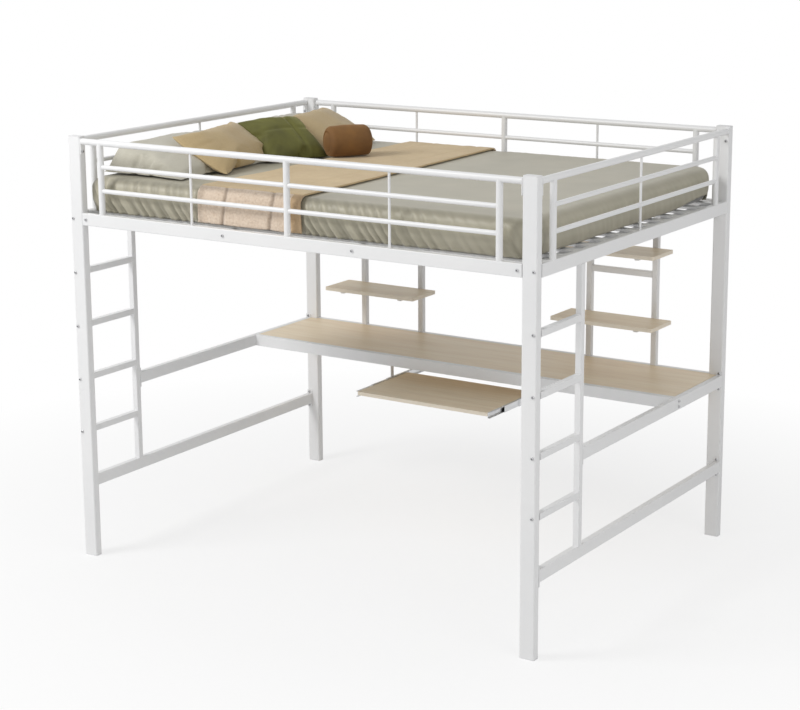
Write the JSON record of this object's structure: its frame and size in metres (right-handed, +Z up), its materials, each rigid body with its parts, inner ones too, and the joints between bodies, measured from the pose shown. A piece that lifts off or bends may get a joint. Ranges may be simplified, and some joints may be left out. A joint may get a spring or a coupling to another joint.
{
  "type": "loft bed with desk",
  "caption": "White steel loft bed on tall corner posts with end ladders, a full-length oak desk, shelf rack, sliding keyboard tray, guard rails and made-up bedding.",
  "frame": {"origin": "on the floor, under the middle of the frame's outer box", "axes": "+X along the bed towards the foot end, +Y from the open front to the desk side, +Z up"},
  "size_m": [2.109, 1.609, 1.72],
  "materials": {
    "white_steel": "satin powder coat",
    "white_plastic": "satin moulded",
    "oak_board": "matte light oak",
    "bolt_steel": "zinc plated",
    "slide_steel": "zinc plated",
    "ticking": "woven cover",
    "sage_cotton": "washed sateen",
    "throw_fabric": "quilted cotton with boucle drop",
    "sage_linen": "washed cotton",
    "tan_cotton": "cotton",
    "green_velvet": "short velvet",
    "brown_velvet": "short velvet"
  },
  "bodies": {
    "frame": {"bedspread": "sage_cotton", "bolts": "bolt_steel", "brown_bolster": "brown_velvet", "cross_beams": "white_steel", "desk_back_rail": "white_steel", "desk_front_rail": "white_steel", "desk_side_rail_left": "white_steel", "desk_side_rail_right": "white_steel", "desk_support_bars": "white_steel", "desk_top": "oak_board", "end_rail_left": "white_steel", "end_rail_right": "white_steel", "end_stringer_left": "white_steel", "end_stringer_right": "white_steel", "green_cushion": "green_velvet", "guard_back_infill": "white_steel", "guard_back_top_rail": "white_steel", "guard_back_uprights": "white_steel", "guard_front_infill": "white_steel", "guard_front_top_rail": "white_steel", "guard_front_uprights": "white_steel", "guard_left_infill": "white_steel", "guard_left_top_rail": "white_steel", "guard_left_uprights": "white_steel", "guard_right_infill": "white_steel", "guard_right_top_rail": "white_steel", "guard_right_uprights": "white_steel", "guard_tabs": "white_steel", "ladder_rungs_left": "white_steel", "ladder_rungs_right": "white_steel", "ladder_upright_left": "white_steel", "ladder_upright_right": "white_steel", "mattress": "ticking", "post_back_left": "white_steel", "post_back_right": "white_steel", "post_caps": "white_plastic", "post_feet": "white_plastic", "post_front_left": "white_steel", "post_front_right": "white_steel", "rack_crossbars": "white_steel", "rack_uprights": "white_steel", "rail_end_plates": "white_steel", "sage_pillow_back": "sage_linen", "sage_pillow_front": "sage_linen", "shelf_arms": "white_steel", "shelf_left": "oak_board", "shelf_lower_right": "oak_board", "shelf_upper_right": "oak_board", "side_rail_back": "white_steel", "side_rail_front": "white_steel", "slat_ledges": "white_steel", "slats": "white_steel", "slide_outer": "slide_steel", "tan_pillow_back": "tan_cotton", "tan_pillow_front": "tan_cotton", "throw_blanket": "throw_fabric", "tray_hangers": "white_steel"},
    "slide_middle": {"slide_middle": "slide_steel"},
    "keyboard_tray": {"keyboard_tray": "oak_board", "slide_inner": "slide_steel"}
  },
  "joints": [
    {"name": "tray_slide", "type": "slide", "parent": "frame", "child": "keyboard_tray", "axis": [0, -1, 0], "range_m": [-0.235, 0.065]},
    {"name": "slide_middle_slide", "type": "slide", "parent": "frame", "child": "slide_middle", "axis": [0, -1, 0], "range_m": [-0.1175, 0.0325]}
  ],
  "couplings": [
    {"joint": "slide_middle_slide", "follows": "tray_slide", "ratio": 0.5}
  ]
}
